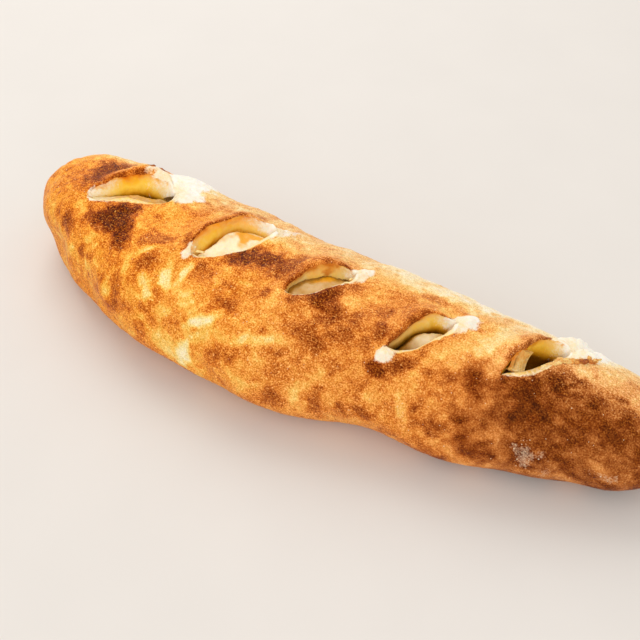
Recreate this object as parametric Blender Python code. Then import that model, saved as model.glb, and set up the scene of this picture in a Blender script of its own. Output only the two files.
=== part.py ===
"""Stromboli: a long baked roll of dough with a melted cheese filling that shows in five slashes.

The crust is a hollow roll of dough with a flat bottom, five slanting slashes cut through its top,
and the raised lips and stretched dough beside them. The filling is a core of cheese that runs
through the roll and swells up a little in each slash.

X runs along the roll from its blunt end to its tapered end, Y runs across it towards the side
that the slashes open to, and Z is up. The origin is under the middle, where the roll stands.
Sizes are in millimetres; MM turns them into metres when a mesh is made.
"""

import bmesh
import bpy
import numpy as np
from mathutils import Matrix, Vector

MM = 0.001

# The roll, as stations along X: place, half width, height of its top, and how far its middle
# line is bowed sideways.
LENGTH = 375.0
STATIONS = (
    (-187.5, 38.5, 53.5, 21.3),
    (-145.0, 42.0, 57.0, 14.3),
    (-95.0, 49.5, 59.5, 3.3),
    (-55.0, 51.2, 59.0, -1.5),
    (-15.0, 49.8, 58.5, -5.7),
    (25.0, 46.0, 57.5, -3.9),
    (65.0, 42.2, 55.5, -3.7),
    (105.0, 37.8, 52.5, -2.9),
    (145.0, 31.5, 48.0, 0.3),
    (187.5, 27.0, 38.0, 0.1),
)
PLAN_ROUND = (62.0, 43.0)       # reach of the rounding of the blunt and the tapered end, from above
SIDE_ROUND = (22.0, 34.0)       # the same, from the side
END_LIFT = (9.0, 6.5)           # how far the bottom curls up at each end
LIFT_REACH = (70.0, 85.0)       # length over which it curls up
TOP_FULLNESS = 2.1              # superellipse exponents of the section: 2 is an ellipse
BOTTOM_FULLNESS = 2.6
WIDEST_AT = 0.42                # share of the height at which the roll is widest
MIDDLE_AT = 0.45                # share of the height to which the ends close
FLATTENED = 1.5                 # depth of dough pressed flat by the roll's own weight

# Dough and filling
DOUGH = 7.5                     # thickness of the dough round the filling
END_DOUGH = 16.0                # thickness of the dough at both ends
GAP = 0.3                       # clearance between filling and dough
LUMP = 0.6                      # height of the slow unevenness of the crust
LUMP_LENGTHS = (71.0, 47.0, 33.0)
LUMP_PHASE = 1.7                # turn between one wave and the next, in radians
LUMP_TWIST = 2.0                # how far the waves lean as they go round, in radians
RELIEF_FROM = 20.0              # height over the floor above which the relief is at its full size
TIP_SMOOTH = (3.0, 0.5)         # the relief fades to nothing at the two tips

# Slashes: middle (X, distance round the top from the ridge, + towards +Y), length, width, angle to
# the roll in degrees, height of the far lip, height of the near lip.
SLASHES = (
    (-121.5, 3.0, 54.0, 17.5, 40.0, 6.0, 1.5),
    (-50.5, 4.2, 52.0, 20.5, 50.0, 6.0, 1.5),
    (2.5, 2.0, 40.0, 15.5, 40.0, 5.0, 1.5),
    (59.5, -8.0, 42.0, 13.5, 44.0, 3.8, 1.2),
    (112.5, 2.0, 41.0, 14.0, 48.0, 4.5, 1.2),
)
CUT_DEPTH = 15.0                # half height of the cut, which passes through the dough
CUT_LEAN = 16.0                 # degrees by which a cut runs in under its far lip
LIP_REACH = (9.0, 7.0)          # how far the far and the near lip slope away from the cut
LIP_ARCH = 0.7                  # how fully a lip stays raised towards the tips of its slash
LIP_BLEND = 3.0                 # width over which the near lip turns into the far one at a tip
MOUND_HEIGHT = 4.0              # swell of the cheese in a slash
MOUND_SHARE = (0.34, 0.32)      # its half length and half width, as shares of the slash

# Dough that tore and stretched at the far tip of a slash: middle (X, distance round the top),
# half length, half width, angle, height.
STRETCHES = (
    (-99.0, 33.0, 22.0, 11.0, 52.0, 2.0),
    (-29.0, 27.0, 9.0, 6.0, 50.0, 1.0),
    (22.5, 19.0, 8.0, 6.0, 40.0, 1.5),
    (80.0, 8.0, 9.0, 6.0, 44.0, 1.5),
    (130.0, 26.0, 17.0, 9.0, 35.0, 2.5),
)

# Mesh fineness
CRUST_GRID = (74, 48)           # bands along and around
CRUST_END_BANDS = (11, 9)
CORE_GRID = (40, 24)
CORE_END_BANDS = (6, 5)
CUT_GRID = (26, 14)
MOUND_GRID = (18, 8)
TOP_CROWDING = 0.38             # 0 spaces the bands evenly, 1 crowds them all on top
ARC_STEPS = 32
STEP = 0.01                     # small step, in millimetres or radians, that gives a direction

# Colours of the baked dough and the melted cheese
CRUST_COLOUR = (0.72, 0.27, 0.055, 1.0)
CHEESE_COLOUR = (0.86, 0.66, 0.30, 1.0)


def smooth_between(place, places, values):
    """Cubic through the given values, with each slope taken from the two neighbours."""
    places = np.asarray(places)
    values = np.asarray(values)
    slopes = np.gradient(values, places)
    place = np.clip(place, places[0], places[-1])
    band = np.clip(np.searchsorted(places, place) - 1, 0, len(places) - 2)
    width = places[band + 1] - places[band]
    part = (place - places[band]) / width
    start = (1 + 2 * part) * (1 - part) ** 2 * values[band]
    start = start + part * (1 - part) ** 2 * width * slopes[band]
    end = part ** 2 * (3 - 2 * part) * values[band + 1]
    return start + end + part ** 2 * (part - 1) * width * slopes[band + 1]


def rounding(x, half_length, reach):
    """Quarter ellipse at both ends: 0 at the tip, 1 from the given reach inwards."""
    left = np.clip((x + half_length) / reach[0], 0, 1)
    right = np.clip((half_length - x) / reach[1], 0, 1)
    return np.sqrt(1 - (1 - left) ** 2) * np.sqrt(1 - (1 - right) ** 2)


def roll_point(x, angle, inset=0.0, end_inset=0.0):
    """Point of the plain roll at x, at an angle round it (90 degrees is the ridge, 0 is +Y)."""
    places, half_widths, heights, bows = zip(*STATIONS)
    half_length = LENGTH / 2 - end_inset
    half_width = smooth_between(x, places, half_widths) - inset
    half_width = half_width * rounding(x, half_length, PLAN_ROUND)
    top = smooth_between(x, places, heights)
    bottom = END_LIFT[0] * np.clip(1 - (x + LENGTH / 2) / LIFT_REACH[0], 0, 1) ** 2
    bottom = bottom + END_LIFT[1] * np.clip(1 - (LENGTH / 2 - x) / LIFT_REACH[1], 0, 1) ** 2
    middle = bottom + MIDDLE_AT * (top - bottom)
    closing = rounding(x, half_length, SIDE_ROUND)
    low = middle - (middle - bottom - inset) * closing
    high = middle + (top - inset - middle) * closing

    across = np.cos(angle)
    up = np.sin(angle)
    fullness = np.where(up >= 0, TOP_FULLNESS, BOTTOM_FULLNESS)
    y = smooth_between(x, places, bows)
    y = y + half_width * np.sign(across) * np.abs(across) ** (2 / fullness)
    rise = np.abs(up) ** (2 / fullness)
    level = np.where(up >= 0, WIDEST_AT + (1 - WIDEST_AT) * rise, WIDEST_AT * (1 - rise))
    z = low + (high - low) * level
    z = np.maximum(z, FLATTENED + inset) - FLATTENED
    return np.stack((x, y, z), axis=-1)


def arc_from_ridge(x, angle):
    """Distance over the crust from the ridge to the angle, positive towards +Y."""
    steps = np.linspace(0, 1, ARC_STEPS)[:, None]
    angles = np.pi / 2 + (angle - np.pi / 2) * steps
    points = roll_point(np.broadcast_to(x, angles.shape), angles)
    length = np.linalg.norm(np.diff(points, axis=0), axis=-1).sum(axis=0)
    return length * np.sign(np.pi / 2 - angle)


def outward(x, angle):
    """Unit normal of the plain roll, from two small steps over it."""
    along = roll_point(x + STEP, angle) - roll_point(x - STEP, angle)
    around = roll_point(x, angle + STEP) - roll_point(x, angle - STEP)
    normal = np.cross(around, along)
    size = np.linalg.norm(normal, axis=-1, keepdims=True)
    return normal / np.maximum(size, 1e-9)


def in_frame(x, arc, middle, angle):
    """Distance along and across a line at an angle on the crust, from its middle."""
    turn = np.radians(angle)
    along = (x - middle[0]) * np.cos(turn) + (arc - middle[1]) * np.sin(turn)
    across = (arc - middle[1]) * np.cos(turn) - (x - middle[0]) * np.sin(turn)
    return along, across


def lips(x, arc):
    """Height of the raised edges of all slashes over the plain roll."""
    height = np.zeros_like(x)
    for mid_x, mid_arc, length, width, angle, far_lip, near_lip in SLASHES:
        along, across = in_frame(x, arc, (mid_x, mid_arc), angle)
        open_share = np.clip(1 - (2 * along / length) ** 2, 0, 1)
        outside = np.maximum(np.abs(across) - width / 2 * np.sqrt(open_share), 0)
        far = far_lip * np.exp(-(outside / LIP_REACH[0]) ** 2)
        near = near_lip * np.exp(-(outside / LIP_REACH[1]) ** 2)
        blend = 0.5 + 0.5 * np.tanh(across / LIP_BLEND)
        height = height + open_share ** LIP_ARCH * (near + (far - near) * blend)
    return height


def stretched_dough(x, arc):
    """Height of the rounded swells where the dough tore at the tips of the slashes."""
    height = np.zeros_like(x)
    for mid_x, mid_arc, half_length, half_width, angle, rise in STRETCHES:
        along, across = in_frame(x, arc, (mid_x, mid_arc), angle)
        height = height + rise * np.exp(-(along / half_length) ** 2 - (across / half_width) ** 2)
    return height


def lumps(x, angle):
    """Slow unevenness of hand-rolled dough."""
    waves = np.zeros_like(x)
    for number, length in enumerate(LUMP_LENGTHS):
        twist = LUMP_TWIST * np.sin(angle * (number + 2))
        waves = waves + np.sin(2 * np.pi * x / length + LUMP_PHASE * number + twist)
    return LUMP * waves / len(LUMP_LENGTHS)


def band_place(share, half_length, end_bands, bands):
    """Place along X of a band: evenly in angle round the two ends, evenly in length between."""
    left = -half_length + PLAN_ROUND[0]
    right = half_length - PLAN_ROUND[1]
    number = share * bands
    left_turn = np.clip(number / end_bands[0], 0, 1) * np.pi / 2
    right_turn = np.clip((bands - number) / end_bands[1], 0, 1) * np.pi / 2
    middle = np.clip((number - end_bands[0]) / (bands - sum(end_bands)), 0, 1)
    place = left + (right - left) * middle
    place = place - PLAN_ROUND[0] * np.cos(left_turn)
    return place + PLAN_ROUND[1] * np.cos(right_turn)


def roll_mesh(name, grid, end_bands, inset=0.0, end_inset=0.0, relief=False):
    """A sphere with its poles on X, moved out to the form of the roll."""
    bands, columns = grid
    mesh = bpy.data.meshes.new(name)
    shape = bmesh.new()
    bmesh.ops.create_uvsphere(shape, u_segments=columns, v_segments=bands, radius=1.0,
                              matrix=Matrix.Rotation(np.pi / 2, 4, "Y"))
    sphere = np.array([vert.co for vert in shape.verts])
    share = np.arccos(np.clip(-sphere[:, 0], -1, 1)) / np.pi
    x = band_place(share, LENGTH / 2 - end_inset, end_bands, bands)
    turn = np.arctan2(sphere[:, 2], sphere[:, 1])
    turn = np.where(turn < -np.pi / 2, turn + 2 * np.pi, turn)
    angle = turn + TOP_CROWDING * np.cos(turn)
    points = roll_point(x, angle, inset, end_inset)
    if relief:
        arc = arc_from_ridge(x, angle)
        height = lips(x, arc) + stretched_dough(x, arc) + lumps(x, angle)
        height = height * np.clip(points[:, 2] / RELIEF_FROM, 0, 1)
        off_axis = np.hypot(sphere[:, 1], sphere[:, 2])
        height = height * np.clip(TIP_SMOOTH[0] * off_axis - TIP_SMOOTH[1], 0, 1)
        points = points + outward(x, angle) * height[:, None]
    for vert, point in zip(shape.verts, points):
        vert.co = Vector(point * MM)
    bmesh.ops.triangulate(shape, faces=shape.faces)
    bmesh.ops.recalc_face_normals(shape, faces=shape.faces)
    shape.to_mesh(mesh)
    shape.free()
    mesh.shade_smooth()
    return mesh


def angle_at(x, arc):
    """Angle round the roll at a distance over the crust from the ridge."""
    angles = np.linspace(0, np.pi, 801)
    arcs = arc_from_ridge(np.full_like(angles, x), angles)
    return float(np.interp(-arc, -arcs, angles))


def slash_frame(slash, depth):
    """Axes of a slash at a depth under the crust: along it, across it, and out of the roll."""
    mid_x, mid_arc, _, _, turn_degrees, _, _ = slash
    x = np.array([mid_x])
    angle = np.array([angle_at(mid_x, mid_arc)])
    along_roll = Vector((roll_point(x + STEP, angle) - roll_point(x - STEP, angle))[0]).normalized()
    out = Vector(outward(x, angle)[0])
    round_roll = out.cross(along_roll)
    turn = np.radians(turn_degrees)
    along = along_roll * np.cos(turn) + round_roll * np.sin(turn)
    across = out.cross(along)
    lean = np.radians(CUT_LEAN)
    up = out * np.cos(lean) - across * np.sin(lean)
    side = up.cross(along)
    middle = Vector(roll_point(x, angle)[0]) - up * depth
    frame = Matrix((along, side, up)).transposed().to_4x4()
    frame.translation = middle * MM
    return frame


def rounded_body(name, half_sizes, grid, frame):
    """A sphere stretched to half sizes, in a slash's frame."""
    shape = bmesh.new()
    bmesh.ops.create_uvsphere(shape, u_segments=grid[0], v_segments=grid[1], radius=1.0)
    bmesh.ops.scale(shape, vec=Vector(half_sizes) * MM, verts=shape.verts)
    mesh = bpy.data.meshes.new(name)
    shape.to_mesh(mesh)
    shape.free()
    body = bpy.data.objects.new(name, mesh)
    body.matrix_world = frame
    return body


def material(name, colour, roughness):
    """Principled material of one colour."""
    new = bpy.data.materials.new(name)
    new.use_nodes = True
    shader = new.node_tree.nodes["Principled BSDF"]
    shader.inputs["Base Color"].default_value = colour
    shader.inputs["Roughness"].default_value = roughness
    shader.inputs["Metallic"].default_value = 0.0
    new.diffuse_color = colour
    return new


def add_boolean(body, other, operation):
    """Boolean with another body, left on the object."""
    modifier = body.modifiers.new(other.name, "BOOLEAN")
    modifier.operation = operation
    modifier.solver = "EXACT"
    modifier.object = other


def as_tool(body, tools):
    """Keep a body that only shapes others out of the render."""
    tools.objects.link(body)
    body.hide_render = True
    body.display_type = "WIRE"


def make_crust(parts, tools):
    """Dough: the roll, less the space of the filling, less the slashes."""
    crust = bpy.data.objects.new("crust", roll_mesh("crust", CRUST_GRID, CRUST_END_BANDS, relief=True))
    crust.data.materials.append(material("baked_dough", CRUST_COLOUR, 0.6))
    parts.objects.link(crust)
    hollow_mesh = roll_mesh("hollow", CORE_GRID, CORE_END_BANDS, DOUGH, END_DOUGH)
    hollow = bpy.data.objects.new("hollow", hollow_mesh)
    as_tool(hollow, tools)
    add_boolean(crust, hollow, "DIFFERENCE")
    for number, slash in enumerate(SLASHES, start=1):
        half_sizes = (slash[2] / 2, slash[3] / 2, CUT_DEPTH)
        cut = rounded_body(f"slash_{number}", half_sizes, CUT_GRID, slash_frame(slash, 0.0))
        as_tool(cut, tools)
        add_boolean(crust, cut, "DIFFERENCE")
    return crust


def make_filling(parts, tools):
    """Melted cheese: a core that fills the roll, with a swell in each slash."""
    inset = DOUGH + GAP
    mesh = roll_mesh("filling", CORE_GRID, CORE_END_BANDS, inset, END_DOUGH + GAP)
    filling = bpy.data.objects.new("filling", mesh)
    filling.data.materials.append(material("melted_cheese", CHEESE_COLOUR, 0.35))
    parts.objects.link(filling)
    for number, slash in enumerate(SLASHES, start=1):
        half_sizes = (slash[2] * MOUND_SHARE[0], slash[3] * MOUND_SHARE[1], MOUND_HEIGHT)
        mound = rounded_body(f"mound_{number}", half_sizes, MOUND_GRID, slash_frame(slash, inset))
        as_tool(mound, tools)
        add_boolean(filling, mound, "UNION")
    return filling


def main():
    for old in list(bpy.data.objects):
        bpy.data.objects.remove(old, do_unlink=True)
    parts = bpy.data.collections.new("stromboli")
    tools = bpy.data.collections.new("cutters")
    for collection in (parts, tools):
        bpy.context.scene.collection.children.link(collection)
    make_crust(parts, tools)
    make_filling(parts, tools)


main()
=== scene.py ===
"""Looks of a baked stromboli: browned crust, five opened slashes and the melted cheese in them.

Lengths are in millimetres and are turned into metres where a mesh is made. A place on the crust is
given by X along the roll and by the distance round its top from the ridge, + towards +Y.
"""

from math import radians

import bpy
import numpy as np
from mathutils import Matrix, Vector


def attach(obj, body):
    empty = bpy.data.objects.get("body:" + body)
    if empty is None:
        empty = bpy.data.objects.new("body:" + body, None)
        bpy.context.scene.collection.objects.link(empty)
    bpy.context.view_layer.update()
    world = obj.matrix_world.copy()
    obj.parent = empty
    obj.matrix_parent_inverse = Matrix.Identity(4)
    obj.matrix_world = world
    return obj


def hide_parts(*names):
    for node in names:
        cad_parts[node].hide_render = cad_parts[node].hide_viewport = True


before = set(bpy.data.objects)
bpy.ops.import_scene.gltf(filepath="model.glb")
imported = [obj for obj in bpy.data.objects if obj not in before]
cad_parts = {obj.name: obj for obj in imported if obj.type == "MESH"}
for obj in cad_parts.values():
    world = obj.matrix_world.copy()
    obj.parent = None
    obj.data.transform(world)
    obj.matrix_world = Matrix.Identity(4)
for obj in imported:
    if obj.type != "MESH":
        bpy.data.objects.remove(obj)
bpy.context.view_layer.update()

MM = 0.001

# ------------------------------------------------------------------ the roll
LENGTH = 375.0
STATIONS = (                    # X, half width, height of the top, sideways bow
    (-187.5, 38.5, 53.5, 21.3),
    (-145.0, 42.0, 57.0, 14.3),
    (-95.0, 49.5, 59.5, 3.3),
    (-55.0, 51.2, 59.0, -1.5),
    (-15.0, 49.8, 58.5, -5.7),
    (25.0, 46.0, 57.5, -3.9),
    (65.0, 42.2, 55.5, -3.7),
    (105.0, 37.8, 52.5, -2.9),
    (145.0, 31.5, 48.0, 0.3),
    (187.5, 27.0, 38.0, 0.1),
)
PLAN_ROUND = (62.0, 43.0)       # reach of the rounded left and right end, seen from above
SIDE_ROUND = (22.0, 34.0)       # the same, seen from the side
END_LIFT = (9.0, 6.5)           # rise of the underside at both tips
LIFT_REACH = (70.0, 85.0)       # length over which it rises
TOP_FULLNESS = 2.1              # power of the superellipse over and under the widest level
BOTTOM_FULLNESS = 2.6
WIDEST_AT = 0.42                # share of the height where the roll is widest
MIDDLE_AT = 0.45                # share of the height to which the tips close
FLATTENED = 1.5                 # depth pressed flat by the roll's own weight
DOUGH = 7.8                     # from the surface of the crust to the cheese core
END_DOUGH = 16.3                # the same at both tips
STEP = 0.01                     # small step along and round the roll, for its slopes
ARC_STEPS = 24                  # pieces in which a length round the roll is added up

# ------------------------------------------------------------------ slashes
# Each slash, laid over the usual values. x, arc, length and angle: its place. fold: width of the fall
# in the cheese at the foot of the far wall. run_out: how far in from the far tip the cut gets deep.
# taper and closes: how slowly its far rim closes there. snowy: how white its dough is. Rows of five go
# from the near tip over the middle to the far tip. far and near: how far the rims open. far_lip and
# near_lip: how high the lips stand. folded: how far the brown crust folds in over the far lip. lean:
# how much the far wall leans out. ledge: its width inside the near rim. grease, olive and pale: how
# greasy, olive and like stretched dough the walls are; the olive is partly painted shade. shade: how
# fast painted shade darkens the walls downwards, and how dark it paints the cheese's crevice. khaki:
# how olive the cheese is, partly painted shade. raw_rim: how bare the edge of the near rim is. cheese
# and gap: level of the cheese under the crust, beside the near rim and at the foot of the far wall.
USUAL = dict(fold=5, snowy=0.9, near_lip=(0.5, 0.7, 0.8, 0.7, 0.5), raw_rim=(1, 1, 1, 1, 1))
SLASHES = (
    dict(USUAL, x=-119.5, arc=0.5, length=56, angle=33, fold=4, run_out=0.5, taper=0.65, closes=0.4,
         snowy=0.75, far=(6, 8.8, 12, 18.8, 29), near=(6.8, 6.4, 7.4, 9.2, 14),
         far_lip=(3, 4.4, 7.2, 6.4, 0), near_lip=(0.6, 1, 1.2, 1, 0.6), folded=(0.6, 1.2, 2.4, 2.8, 0),
         lean=(3, 6, 8.5, 15, 27), ledge=(1.6, 3, 5.4, 2.4, 0.4), grease=(0.1, 0.25, 0.85, 0.5, 0.1),
         olive=(0, 0.05, 0.2, 0.4, 0.1), pale=(0.85, 0.5, 0.08, 0.35, 1),
         shade=(0.5, 0.55, 1.2, 1.4, 1.1), khaki=(0, 0.5, 1.1, 1.2, 1), raw_rim=(0, 0.25, 1, 1, 1),
         cheese=(-3.5, -3.4, -2.9, -4.2, -5.5), gap=(-4, -4.6, -5.2, -7, -7)),
    dict(USUAL, x=-49.5, arc=3.5, length=51, angle=50, run_out=0.5, taper=0.5, closes=0.06,
         far=(10, 10.5, 12.2, 14, 17), near=(5.5, 8, 8.6, 6.6, 8), far_lip=(5.5, 6, 6.2, 6.5, 5),
         near_lip=(0.6, 1, 1.2, 1, 0.6), folded=(0.6, 0.4, 0.4, 0.6, 0.2), lean=(6, 5, 2, 3, 7),
         ledge=(2.5, 0.6, 0.4, 3, 4), grease=(0.4, 0.65, 0.6, 0.5, 0.2), olive=(0, 0.1, 0.05, 0, 0),
         pale=(0.6, 0, 0.08, 0.45, 1), shade=(0.85, 0.85, 0.68, 0.6, 0.6), khaki=(0.15, 0, 0, 0.1, 0.1),
         cheese=(-2, -1.4, -1.4, -2.4, -4), gap=(-6, -6, -5, -4, -5.5)),
    dict(USUAL, x=2.5, arc=1, length=37, angle=41, fold=6, run_out=0.65, taper=0.6, closes=0.06,
         far=(3.5, 7.2, 9.4, 11, 13), near=(8, 8.6, 7, 6.4, 8.5), far_lip=(3.2, 4, 4.6, 4.2, 1.5),
         near_lip=(0.6, 0.9, 1, 0.9, 0.6), folded=(2.4, 2, 1.2, 0.8, 0.3), lean=(1, 2, 4, 5, 5),
         ledge=(1, 0.8, 0.8, 2, 2.5), grease=(0, 0.1, 0.35, 0.3, 0), olive=(0.75, 0.65, 0.75, 0.7, 0.3),
         pale=(0, 0, 0, 0.1, 0.9), shade=(0.7, 0.55, 0.55, 0.6, 0.6), khaki=(1, 0.95, 1, 1.1, 0.8),
         cheese=(-3.2, -3, -2.8, -3.2, -4.5), gap=(-3.9, -3.6, -3.4, -4, -6.5)),
    dict(USUAL, x=59, arc=-9, length=36, angle=44, run_out=0.55, taper=0.5, closes=0.06,
         far=(2, 4.7, 8.4, 10.6, 13), near=(8.5, 8, 6.2, 6, 8), far_lip=(2.5, 3.5, 3.9, 4, 1.5),
         folded=(2.5, 3.6, 3.4, 1, 0), lean=(1, 2, 4, 5, 5), ledge=(3, 1.8, 1, 3, 3),
         grease=(0, 0.1, 0.25, 0.3, 0.1), olive=(1, 1, 0.9, 0.5, 0.1), pale=(0.3, 0, 0, 0.2, 1),
         shade=(1.2, 1.2, 1.15, 1.2, 1.1), khaki=(1.3, 1, 0.45, 0.8, 1),
         cheese=(-8.6, -6.4, -3.1, -4.4, -7.5), gap=(-10.6, -9.6, -6.6, -9.8, -12)),
    dict(USUAL, x=111.5, arc=1, length=37, angle=49, run_out=0.7, taper=1, closes=0.1,
         far=(3, 7, 8.2, 13, 19), near=(3, 7, 6.6, 4.4, 5), far_lip=(2.5, 4.4, 5.6, 4.6, 0),
         folded=(1, 1.5, 2.4, 1, 0), lean=(0.5, 1.5, 2.5, 8, 16), ledge=(2, 4, 3.6, 1.2, 0.6),
         grease=(0.9, 1, 0.8, 0.4, 0), olive=(0.7, 1.2, 1.7, 1, 0), pale=(0, 0, 0, 0.1, 1),
         shade=(1.3, 1.6, 1.9, 1.4, 0.9), khaki=(1, 1, 1, 1, 0.6), cheese=(-6, -7.6, -9.4, -8.8, -6),
         gap=(-9, -11.2, -12.2, -11.4, -8)),
)
GROOVE = 13.0                   # depth of a slash below the crust, under the cheese
UNDERCUT = 0.8                  # how far the far wall runs in under its lip
OVERHANG = 1.3                  # how far the edge of the far lip stands in over the wall
STEEPEST_FOOT = 0.3             # least share of the far rim's opening that the wall's foot keeps
SLIT = 1.0                      # half width of the uncut band that opens into a slash
LOOSE_BAND = 8.0                # half width of the same band beyond the tips
TIP_RUN = 14.0                  # length over which the band widens beyond a tip
LINE_REACH = 26.0               # distance round the top at which slanting grid lines turn square
FADE_ARC = (62.0, 108.0)        # where they run back to straight rings under the roll
PUSH_REACH = 19.0               # how far the crust beside a slash is pushed away
LIP_REACH = (9.0, 6.5)          # how far the far and the near lip slope away
WOBBLE = 13.0                   # length of the waves in the rims
FIRST_RIM = 40                  # seed of the first slash's rims, counted up for the others

# Dough that was stretched white and thin at the tips of the slashes: X, arc, half length, half
# width, angle, height of the bulge and strength of the white.
STRETCHED = (
    (-102, 31, 22, 13, 62, 4, 1), (-93, 18, 12, 6.5, 42, 1.8, 1), (-137, -6, 5, 3, 60, 0.3, 0.2),
    (-37.5, 20.5, 9.5, 5.5, 62, 2.6, 1), (-31, 28.5, 8, 2.4, 52, 0.5, 0.55),
    (-65.5, -14, 5.5, 2.8, 62, 1.4, 0.95), (17.5, 13.5, 7.5, 4.2, 68, 2, 1),
    (74.5, 6, 8.5, 5.2, 60, 3, 1), (70, 3, 5, 3, 60, 1, 0.8), (48, -25, 5.4, 3.6, 50, 2.6, 1),
    (122.5, 22, 15, 7.5, 58, 4.4, 1), (131.5, 18, 12, 5.4, 40, 2.8, 1),
)

# Wide, low swells and hollows of the whole crust: X, arc, half length, half width and height.
SWELLS = (
    (5, -76, 26, 14, 3.2), (44, -70, 16, 12, -2.2), (82, -67, 18, 12, 2.2), (-124, -63, 24, 14, -3.4),
    (-161, -46, 18, 14, -5), (-180, -8, 14, 16, -4), (-136, 30, 18, 12, 1.6),
)

# Browned places: X, arc, half length, half width, angle and strength.
BROWNED = (
    (-115, -13, 10, 6.5, 38, 0.95), (-122, -21, 13, 5.5, 12, 0.75), (-107, -22, 11, 5.5, 115, 0.7),
    (-115, -21, 10, 6, -10, 0.6), (-109, -5, 5, 3, 50, 0.45), (-145, -31, 6.5, 4.5, 115, 0.6),
    (-128, -41, 4, 3, 100, 0.5), (-121, -42, 3, 2.5, 90, 0.5), (-146, 5, 13, 6, 85, 0.7),
    (-138, 17, 13, 7, 48, 0.65), (-126, 31, 10, 5, 60, 0.85), (-85, -30, 7, 4.5, 75, 0.5),
    (-88, -17, 10, 3.5, 32, 0.45), (-98, -50, 13, 3.5, 80, 0.35), (-102, -61, 8, 4, 10, 0.3),
    (-77, -51, 4, 3, 20, 0.2), (-86, -55, 4, 3, 0, 0.2), (-70, -56, 3.5, 3, 0, 0.4),
    (-78, -63, 4, 4, 0, 0.35), (-113, -58, 5, 4, 0, 0.25), (-71, -40, 3, 2.2, 20, 0.4),
    (-76, 14, 9, 3, 60, 0.3), (-83, 4, 5, 4, 0, 0.05), (-40, -4, 8, 6, 40, 0.8),
    (-30, 1, 9, 6.5, 20, 0.62), (-18, 2, 9, 8, 10, 0.6), (-13, 10, 5, 5, 30, 0.5),
    (-57, -18, 4, 3, 0, 0.35), (-33, -32, 6.5, 5, 20, 0.4), (-42, -28, 5, 4, 0, 0.25),
    (-32, -54, 7, 5.5, 60, 0.42), (-18, -52, 7, 5, 0, 0.3), (-18, -16, 3, 3, 0, 0.6),
    (-30, -41, 5, 3, 0, 0.15), (8, -9, 7, 4.5, 42, 0.8), (16, -14, 7, 4, -30, 0.65),
    (12, -3, 5, 3.5, 50, 0.45), (20, 3, 4, 4, 0, 0.2), (26, -24, 5, 4, 0, 0.4), (28, -15, 4, 3, 0, 0.25),
    (10, -30, 10, 6, -10, 0.5), (18, -33, 5, 4, 0, 0.3), (-3, -45, 5, 4, 0, 0.3), (2, -52, 6, 5, 0, 0.3),
    (0, -66, 7, 5, 0, 0.4), (22, -60, 9, 3.5, 95, 0.5), (36, -60, 4, 5, 0, 0.35), (46, -57, 5, 4, 0, 0.6),
    (25, -38, 4, 4, 0, 0.3), (41, -42, 5, 4, 0, 0.25), (42, -16, 4, 5, 0, 0.6), (38, -4, 4, 5, 0, 0.3),
    (46, -33, 6, 4, 0, 0.85), (56, -27, 7, 3, 38, 0.6), (88, -19, 5, 5, 0, 0.45), (92, -24, 6, 6, 0, 0.4),
    (113, -15.5, 6, 5, 40, 0.7), (114, -22, 9, 5, 100, 0.65), (109, -29, 6, 6, 0, 0.35),
    (125, -30, 10, 6, 80, 0.4), (121, -4, 5, 4, 30, 0.35), (135, -12, 10, 8, 0, 0.25),
    (155, -22, 5, 5, 0, 0.8), (140, -24, 7, 7, 0, 0.3), (80, -49, 6, 5, 0, 0.6), (93, -46, 5, 4, 0, 0.3),
    (101, -55, 8, 4, 0, 0.5), (75, -59, 4, 3, 0, 0.35), (55, 16.5, 7, 3.5, 0, 0.5),
    (68, 16, 5, 3.5, 0, 0.25), (91, 18, 3, 2.5, 0, 0.2), (-133, -9.5, 8, 2.5, 30, 0.35),
    (-157, -4, 6, 6, 0, 0.3), (-141, -1, 4, 4, 0, 0.45), (-147, -13, 4, 4, 0, 0.25),
    (-70, -9, 7, 2.5, 100, 0.35), (-107, -36, 4, 3, 0, 0.35), (-88, -42, 4, 5, 0, 0.35),
    (14, -20, 5, 3, -20, 0.6), (-50, 31, 5, 6, 0, 0.35), (-69, 26, 4, 5, 0, 0.3),
    (118, -43, 6, 4, 0, 0.35), (38, -24, 4, 4, 0, 0.45), (-3, -13, 3, 3, 0, 0.35),
)

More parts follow.
